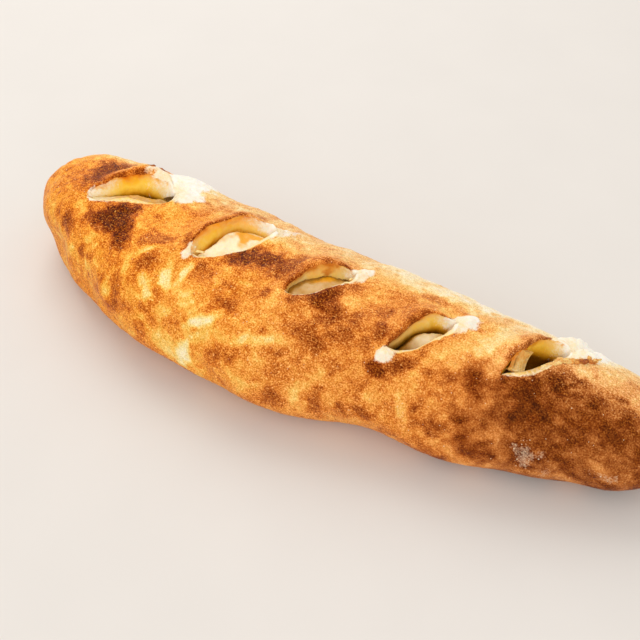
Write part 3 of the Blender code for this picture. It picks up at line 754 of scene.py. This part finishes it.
def on_roll(x, arc, height):
    """Point over the plain roll, with the directions along it, round it and away from it."""
    angles = np.linspace(0.1, np.pi - 0.1, 300)
    lengths = arc_from_ridge(np.full_like(angles, x), angles)
    angle = np.interp(arc, lengths[::-1], angles[::-1])
    up = outward(np.float64(x), np.float64(angle))
    around = np.cross(up, (1.0, 0.0, 0.0))
    around = around / np.linalg.norm(around)
    return roll_point(np.float64(x), angle) + height * up, np.cross(around, up), around, up


def ball(rings, columns):
    """Rings of latitude of a unit sphere about the first axis, and its two poles."""
    polar = np.linspace(0, np.pi, rings)[1:-1, None]
    turn = -np.linspace(0, 2 * np.pi, columns, endpoint=False)[None, :]
    points = np.broadcast_arrays(np.cos(polar), np.sin(polar) * np.cos(turn), np.sin(polar) * np.sin(turn))
    return np.stack(points, -1), np.array(((1.0, 0.0, 0.0), (-1.0, 0.0, 0.0)))


def turned(first, second, degrees):
    """Two square directions turned towards one another in their own plane, by cosine and sine."""
    turn = radians(degrees)
    return np.cos(turn) * first + np.sin(turn) * second, np.cos(turn) * second - np.sin(turn) * first


def lump(place, seed):
    """Ellipsoid with a rough skin: rings of latitude, each point moved in or out by a random field."""
    x, arc, height, length, width, thickness, angle, tilt, _ = place
    centre, along, around, up = on_roll(x, arc, height)
    first, second = turned(along, around, angle)
    first, third = turned(first, up, tilt)
    unit, poles = ball(18, 26)
    unit = unit * (1 + 0.18 * uneven(unit, 1.4, seed) + 0.06 * uneven(unit, 0.6, seed + 1, 40))[..., None]
    axes = np.stack((first * length, second * width, third * thickness))
    return centre + unit @ axes, centre + poles @ axes


def string(place, seed):
    """Thread along a sagging curve of the second degree, flattened and ridged, wider at both ends."""
    start, _, _, up = on_roll(*place[0:3])
    end = on_roll(*place[3:6])[0]
    radius, flatness, sag = place[6:9]
    share = np.linspace(0, 1, 30)[:, None]
    path = start + (end - start) * share - up * 4 * sag * share * (1 - share)
    run = (end - start) / np.linalg.norm(end - start)
    side = np.cross(run, up)
    side = side / np.linalg.norm(side)
    top = np.cross(side, run)
    turn = -np.linspace(0, 2 * np.pi, 44, endpoint=False)[None, :]
    size = radius * (0.75 + 0.9 * np.abs(2 * share - 1) ** 3)
    spread = np.stack(np.broadcast_arrays(np.cos(turn) * flatness, 0 * turn, 0.35 * share), -1)
    size = size * (1 + 0.16 * uneven(spread, 1.2, seed) + 0.04 * uneven(spread, 0.5, seed + 1))
    rings = path[:, None] + (size * np.cos(turn) * flatness)[..., None] * side
    rings = rings + (size * np.sin(turn))[..., None] * top
    return rings, np.stack((start - run * 0.3, end + run * 0.3))


def small_pieces(name, parts, tones, material):
    """One piece of many closed parts, with the tone at both ends of each as an attribute."""
    mesh = closed_mesh(name, *parts)
    value = []
    for (rings, _), (first, last) in zip(parts, tones):
        run = np.linspace(first, last, rings.shape[0])
        value.append(np.repeat(run, rings.shape[1]))
        value.append((first, last))
    add_values(mesh, tone=np.concatenate(value))
    return make_object(mesh, material)


def specks(points, normals, flour):
    """Grains of flour on the crust: points picked at random, more often where it was floured."""
    rng = np.random.default_rng(90)
    weight = 0.02 + flour ** 1.5
    picked = rng.choice(len(points), SPECKS, replace=False, p=weight / weight.sum())
    sizes = rng.uniform(*SPECK_SIZE, SPECKS) * (0.8 + 0.5 * flour[picked])
    unit, poles = ball(6, 8)
    parts = []
    for point, normal, size in zip(points[picked], normals[picked], sizes):
        stretch = size * rng.uniform(0.6, 1.3, 3)
        centre = point + normal * size * 0.2
        parts.append((centre + unit * stretch, centre + poles * stretch))
    return parts


# ------------------------------------------------------------------ materials
SOCKETS = dict(colour="Base Color", roughness="Roughness", normal="Normal", tint="Specular Tint",
               specular="Specular IOR Level", soft="Subsurface Weight", soft_reach="Subsurface Radius")

# Ramps of colours, as rows of a share and the colour there, 0 to 255 on a screen. The crust's go by
# its toast, the walls' by the depth below the brown edge, where their darker lower colours are painted
# shade, the stretched dough's by its purity, the cheese's by the painted shade of its crevices, and
# those of the small pieces by their tone.
GOLDEN_CRUST = (
    (0, 255, 243, 208), (0.14, 255, 226, 142), (0.28, 254, 194, 82), (0.42, 249, 160, 52),
    (0.56, 226, 126, 34), (0.7, 184, 90, 20), (0.84, 136, 53, 2), (1, 86, 27, 0),
)
# Crust under painted sheen: paler and greyer, blended in by the sheen value.
SHEENED_CRUST = (
    (0, 252, 238, 210), (0.14, 250, 224, 172), (0.28, 245, 195, 126), (0.42, 233, 168, 102),
    (0.56, 208, 134, 70), (0.7, 166, 94, 40), (0.84, 124, 57, 9), (1, 80, 29, 2),
)
GREASY_WALL = (
    (0, 214, 108, 16), (0.06, 240, 142, 26), (0.16, 252, 172, 42), (0.28, 254, 190, 48),
    (0.42, 253, 202, 70), (0.58, 240, 182, 50), (0.76, 206, 140, 16), (1, 130, 76, 4),
)
PLAIN_WALL = (
    (0, 236, 158, 70), (0.05, 250, 202, 104), (0.14, 254, 228, 152), (0.32, 252, 223, 136),
    (0.5, 244, 200, 90), (0.66, 226, 168, 44), (0.84, 186, 124, 14), (1, 116, 70, 4),
)
# Olive walls, partly painted shade: darker than the plain ones from the rim down.
OLIVE_WALL = (
    (0, 170, 96, 26), (0.08, 200, 140, 58), (0.2, 216, 166, 78), (0.36, 208, 160, 68),
    (0.52, 184, 134, 42), (0.66, 150, 100, 18), (0.84, 108, 64, 4), (1, 70, 38, 2),
)
WHITE_DOUGH = ((0, 236, 194, 124), (0.3, 246, 222, 174), (0.6, 251, 240, 216), (1, 253, 250, 242))
PALE_CHEESE = (
    (0, 249, 232, 190), (0.18, 247, 220, 160), (0.4, 242, 196, 104), (0.65, 226, 162, 42),
    (1, 160, 98, 4),
)
# Olive cheese, partly painted shade; both cheese ramps darken with the painted crevice shade.
KHAKI_CHEESE = (
    (0, 208, 160, 88), (0.2, 192, 142, 64), (0.45, 166, 116, 36), (0.7, 104, 62, 5), (1, 44, 24, 1),
)
TORN_DOUGH = (
    (0, 255, 244, 214), (0.25, 250, 214, 138), (0.5, 228, 146, 58), (0.75, 160, 78, 20), (1, 84, 34, 6),
)
STRINGY_CHEESE = ((0, 240, 206, 144), (0.3, 232, 180, 92), (0.6, 222, 134, 36), (1, 160, 82, 10))
DARK_SCRAP = ((0, 124, 88, 20), (0.6, 84, 54, 8), (1, 52, 32, 4))
FLOUR_GRAINS = ((0, 240, 216, 182), (1, 222, 186, 142))


def feed(tree, socket, value):
    """Set a socket to a value, or link another node's output to it."""
    if isinstance(value, bpy.types.NodeSocket):
        tree.links.new(value, socket)
    else:
        socket.default_value = value


def add_node(tree, kind, inputs=(), **settings):
    """One shader node: settings by name, and each input a value or another node's output."""
    node = tree.nodes.new(kind)
    for name, value in settings.items():
        setattr(node, name, value)
    for socket, value in dict(inputs).items():
        feed(tree, node.inputs[socket], value)
    return node


def attribute(tree, name):
    """Value of a point attribute of the mesh."""
    return add_node(tree, "ShaderNodeAttribute", attribute_name=name).outputs["Fac"]


def reckon(tree, operation, *values, clamp=False):
    """One sum of the Math node, kept between 0 and 1 if clamped."""
    inputs = dict(enumerate(values))
    return add_node(tree, "ShaderNodeMath", inputs, operation=operation, use_clamp=clamp).outputs[0]


def grain(tree, place, size, detail=2.0, roughness=0.5, twist=0.0):
    """Noise about zero whose patches measure the given size in millimetres."""
    inputs = {"Vector": place, "Scale": 1 / (size * MM), "Detail": detail, "Roughness": roughness,
              "Distortion": twist}
    noise = add_node(tree, "ShaderNodeTexNoise", inputs)
    return reckon(tree, "SUBTRACT", noise.outputs["Fac"], 0.5)


def total(tree, *weighted):
    """Sum of outputs, each times its weight. One that comes without a weight counts once."""
    result = None
    for item in weighted:
        part = reckon(tree, "MULTIPLY", *item) if isinstance(item, tuple) else item
        result = part if result is None else reckon(tree, "ADD", result, part)
    return result


def blend(tree, share, first, second):
    """Mix of two colours: the first at share 0, the second at 1."""
    return add_node(tree, "ShaderNodeMix", {0: share, 6: first, 7: second}, data_type="RGBA").outputs[2]


def linear(*colour):
    """Linear value of a colour given as 0 to 255 on a screen."""
    share = np.array(colour) / 255
    value = np.where(share <= 0.04045, share / 12.92, ((share + 0.055) / 1.055) ** 2.4)
    return (*[float(one) for one in value], 1.0)


def ramp(tree, share, stops):
    """Colour from a ramp, straight between its stops."""
    node = add_node(tree, "ShaderNodeValToRGB", {"Fac": share})
    points = node.color_ramp.elements
    while len(points) < len(stops):
        points.new(0.5)
    for point, (place, *colour) in zip(points, stops):
        point.position = place
        point.color = linear(*colour)
    return node.outputs["Color"]


def within(tree, value, low, high, top=1.0):
    """0 up to low, rising to the top value at high."""
    inputs = {"Value": value, "From Min": low, "From Max": high, "To Min": 0.0, "To Max": top}
    return add_node(tree, "ShaderNodeMapRange", inputs).outputs["Result"]


def painted_glints(tree, colour, amount, middle):
    """Colour scaled up and raised to a lower power where the amount is high: paler, not redder."""
    # On the crust's grain this paints glints, and small shadows where the amount is below zero.
    power = reckon(tree, "MULTIPLY_ADD", amount, -1.1, 1.0)
    paler = add_node(tree, "ShaderNodeGamma", {"Color": colour, "Gamma": power}).outputs["Color"]
    scale = reckon(tree, "ADD", amount, middle)
    return add_node(tree, "ShaderNodeVectorMath", {0: paler, "Scale": scale},
                    operation="SCALE").outputs["Vector"]


def bumps(tree, height, distance, strength):
    """Normal that a height in metres tilts."""
    inputs = {"Height": height, "Distance": distance, "Strength": strength}
    return add_node(tree, "ShaderNodeBump", inputs).outputs["Normal"]


def start_material(name):
    """New material, with its tree, its shader and the place on the piece."""
    material = bpy.data.materials.new(name)
    material.use_nodes = True
    tree = material.node_tree
    shader = tree.nodes["Principled BSDF"]
    shader.inputs["Subsurface Scale"].default_value = 1.0
    return material, tree, shader, add_node(tree, "ShaderNodeTexCoord").outputs["Object"]


def finish(tree, shader, **inputs):
    """Give the shader its inputs, under the short names of SOCKETS."""
    for name, value in inputs.items():
        feed(tree, shader.inputs[SOCKETS[name]], value)


def crust_material():
    """Baked crust, bare walls of dough in the slashes, stretched white dough and raw flour.

    Each is a ramp of colours by a value of the mesh plus noise, and one is laid over the other. Painted
    light is laid in too: sheen on the crust, glints and small shadows in its grain, and shade down the
    walls of the slashes.
    """
    material, tree, shader, place = start_material("browned_crust")
    mottle = grain(tree, place, 3.6, 3.0, 0.6, 0.4)
    speckle = grain(tree, place, 1.5, 2.0, 0.6)
    fleck = grain(tree, place, 0.72, 1.0, 0.5)
    streak = grain(tree, place, 7.0, 2.0, 0.5, 0.5)
    toast, dull, mealy, below, grease, olive, stain, bare, white, pure, flour = (
        attribute(tree, name) for name in ("toast", "dull", "mealy", "below", "grease", "olive", "stain",
                                           "bare", "white", "pure", "flour"))
    toast = reckon(tree, "ADD", toast, total(tree, (mottle, 0.24), (speckle, 0.05)), clamp=True)
    # Painted sheen blends the crust towards its paler, greyer ramp.
    browned = blend(tree, dull, ramp(tree, toast, GOLDEN_CRUST), ramp(tree, toast, SHEENED_CRUST))
    # Fine grain, paler in its light specks and darker in its dark ones without a change of hue: painted
    # glints and small shadows of the bumpy skin.
    glint_grain = reckon(tree, "MULTIPLY", total(tree, (speckle, 0.42), (fleck, 1.30)),
                  reckon(tree, "MULTIPLY_ADD", toast, 1.0, 0.45))
    browned = painted_glints(tree, browned, reckon(tree, "MULTIPLY", glint_grain, mealy), 0.97)

    # Walls: ramps by the depth below the brown edge, darker downwards as painted shade in the slash.
    uneven_wall = total(tree, (streak, 0.34), (mottle, 0.24), (speckle, 0.08))
    depth = reckon(tree, "ADD", below, uneven_wall, clamp=True)
    # The olive tint is partly painted shade.
    olive = within(tree, total(tree, olive, (mottle, 0.4)), 0.0, 1.2, 0.9)
    greasy = within(tree, total(tree, grease, (mottle, 0.9)), 0.1, 0.8)
    stained = within(tree, total(tree, stain, (speckle, 0.5)), 0.1, 0.8)
    wall = blend(tree, olive, ramp(tree, depth, PLAIN_WALL), ramp(tree, depth, OLIVE_WALL))
    wall = blend(tree, greasy, wall, ramp(tree, depth, GREASY_WALL))
    wall = blend(tree, stained, wall, linear(200, 106, 14))
    colour = blend(tree, within(tree, total(tree, bare, (speckle, 0.6)), 0.35, 0.65), browned, wall)

    threads = total(tree, (mottle, 0.6), (speckle, 0.5), (fleck, 0.3))
    cover = within(tree, reckon(tree, "ADD", white, threads), 0.25, 0.75)
    stretched = ramp(tree, reckon(tree, "ADD", pure, threads, clamp=True), WHITE_DOUGH)
    colour = blend(tree, cover, colour, stretched)
    dusty = within(tree, total(tree, flour, (speckle, 1.8), (fleck, 1.2)), 0.45, 1.4, 0.8)
    colour = blend(tree, dusty, colour, linear(222, 188, 156))
    height = total(tree, (mottle, 0.5), (speckle, 0.6), (fleck, 0.25))
    finish(tree, shader, colour=colour, normal=bumps(tree, height, 0.0007, 0.6),
           roughness=reckon(tree, "MULTIPLY", reckon(tree, "ADD", speckle, 1.0), 0.46),
           specular=0.13, tint=linear(255, 214, 160), soft=0.10, soft_reach=(0.004, 0.002, 0.0008))
    return material


def cheese_material():
    """Melted cheese: darker down in the crevices, olive in places, with orange oil on it."""
    material, tree, shader, place = start_material("melted_cheese")
    cloud = grain(tree, place, 5.0, 3.0, 0.55)
    curd = grain(tree, place, 1.6, 2.0, 0.5)
    crevice, khaki, oil = (attribute(tree, name) for name in ("crevice", "khaki", "oil"))
    # Painted shade darkens the cheese down its crevices; the khaki olive is partly painted shade.
    share = reckon(tree, "ADD", crevice, total(tree, (cloud, 0.5), (curd, 0.12)), clamp=True)
    khaki = within(tree, total(tree, khaki, (cloud, 0.5)), 0.0, 1.1)
    colour = blend(tree, khaki, ramp(tree, share, PALE_CHEESE), ramp(tree, share, KHAKI_CHEESE))
    oil = within(tree, total(tree, oil, (cloud, 0.4), (curd, 0.15)), 0.05, 0.85, 0.95)
    colour = blend(tree, oil, colour, linear(242, 166, 14))
    height = total(tree, (cloud, 0.6), (curd, 0.5))
    finish(tree, shader, colour=colour, normal=bumps(tree, height, 0.0006, 0.5), roughness=0.34,
           specular=0.28, soft=0.25, soft_reach=(0.006, 0.004, 0.0015))
    return material


def torn_material(name, stops, roughness, soft):
    """Colour by the tone of each bit, made uneven by noise."""
    material, tree, shader, place = start_material(name)
    blotch = grain(tree, place, 1.6, 3.0, 0.6)
    fleck = grain(tree, place, 0.6, 2.0, 0.5)
    mottled = total(tree, (blotch, 0.7), (fleck, 0.3))
    share = reckon(tree, "ADD", attribute(tree, "tone"), mottled, clamp=True)
    normal = bumps(tree, total(tree, (blotch, 0.6), (fleck, 0.5)), 0.0006, 0.7)
    finish(tree, shader, colour=ramp(tree, share, stops), normal=normal, roughness=roughness,
           specular=0.3, soft=soft, soft_reach=(0.004, 0.002, 0.001))
    return material


def floor_material():
    """Pale floor with a faint, wide cloud."""
    material, tree, shader, place = start_material("pale_floor")
    cloud = reckon(tree, "ADD", grain(tree, place, 60.0, 2.0), 0.5)
    colour = blend(tree, cloud, linear(222, 218, 213), linear(227, 223, 218))
    finish(tree, shader, colour=colour, roughness=0.6, specular=0.3)
    return material


# ------------------------------------------------------------------ stage
# Lengths here are in metres and angles in degrees.
FLOOR = 12.0                    # half width
SENSOR = 36.0                   # width, in millimetres as the lens is
LENS = 56.25
EYE = (0.16737, -0.31006, 0.39647)
EYE_TURN = (43.388, 1.161, 27.272)
ROOM_COLOUR = (1.0, 0.97, 0.94, 1)
ROOM_LIGHT = 0.72
LAMPS = (                       # name, place, size, power and colour
    ("window", (-0.9, 0.9, 1.3), 1.2, 14, (1.0, 0.97, 0.93)),
    ("fill", (0.6, -1.2, 0.9), 1.5, 9, (1.0, 0.98, 0.96)),
)


def add_stage():
    """Floor, camera, even light all round and two soft lamps that point at the roll."""
    scene = bpy.context.scene
    mesh = bpy.data.meshes.new("floor")
    corners = [(x * FLOOR, y * FLOOR, 0) for x, y in ((-1, -1), (1, -1), (1, 1), (-1, 1))]
    mesh.from_pydata(corners, [], [(0, 1, 2, 3)])
    mesh.materials.append(floor_material())
    floor = bpy.data.objects.new("floor", mesh)
    scene.collection.objects.link(floor)
    camera = bpy.data.cameras.new("camera")
    camera.sensor_width = SENSOR
    camera.lens = LENS
    eye = bpy.data.objects.new("camera", camera)
    eye.location = EYE
    eye.rotation_euler = [radians(turn) for turn in EYE_TURN]
    scene.collection.objects.link(eye)
    scene.camera = eye
    scene.view_settings.view_transform = "Standard"
    world = bpy.data.worlds.new("room")
    scene.world = world
    world.use_nodes = True
    background = world.node_tree.nodes["Background"]
    background.inputs["Color"].default_value = ROOM_COLOUR
    background.inputs["Strength"].default_value = ROOM_LIGHT
    for name, place, size, power, colour in LAMPS:
        light = bpy.data.lights.new(name, "AREA")
        light.size = size
        light.energy = power
        light.color = colour
        lamp = bpy.data.objects.new(name, light)
        lamp.location = place
        lamp.rotation_euler = (-Vector(place)).to_track_quat("-Z", "Y").to_euler()
        scene.collection.objects.link(lamp)


dough, crust_points, crust_normals, floured = crust_mesh()
crust = make_object(dough, crust_material())
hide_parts("crust")
filling = make_object(filling_mesh(), cheese_material())
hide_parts("filling")

for name, shape, places, seed, tones, look in (
        ("torn_bits", lump, TORN, 100, 1, ("torn_dough", TORN_DOUGH, 0.55, 0.15)),
        ("cheese_strings", string, STRINGS, 300, 2, ("stringy_cheese", STRINGY_CHEESE, 0.45, 0.15)),
        ("dark_scraps", lump, SCRAPS, 200, 1, ("dark_scrap", DARK_SCRAP, 0.7, 0.0))):
    bits = [shape(place, seed + 2 * number) for number, place in enumerate(places)]
    small_pieces(name, bits, [(place[-tones], place[-1]) for place in places], torn_material(*look))
small_pieces("flour_specks", specks(crust_points, crust_normals, floured), [(0.3, 0.3)] * SPECKS,
             torn_material("flour_grains", FLOUR_GRAINS, 0.8, 0.0))
add_stage()
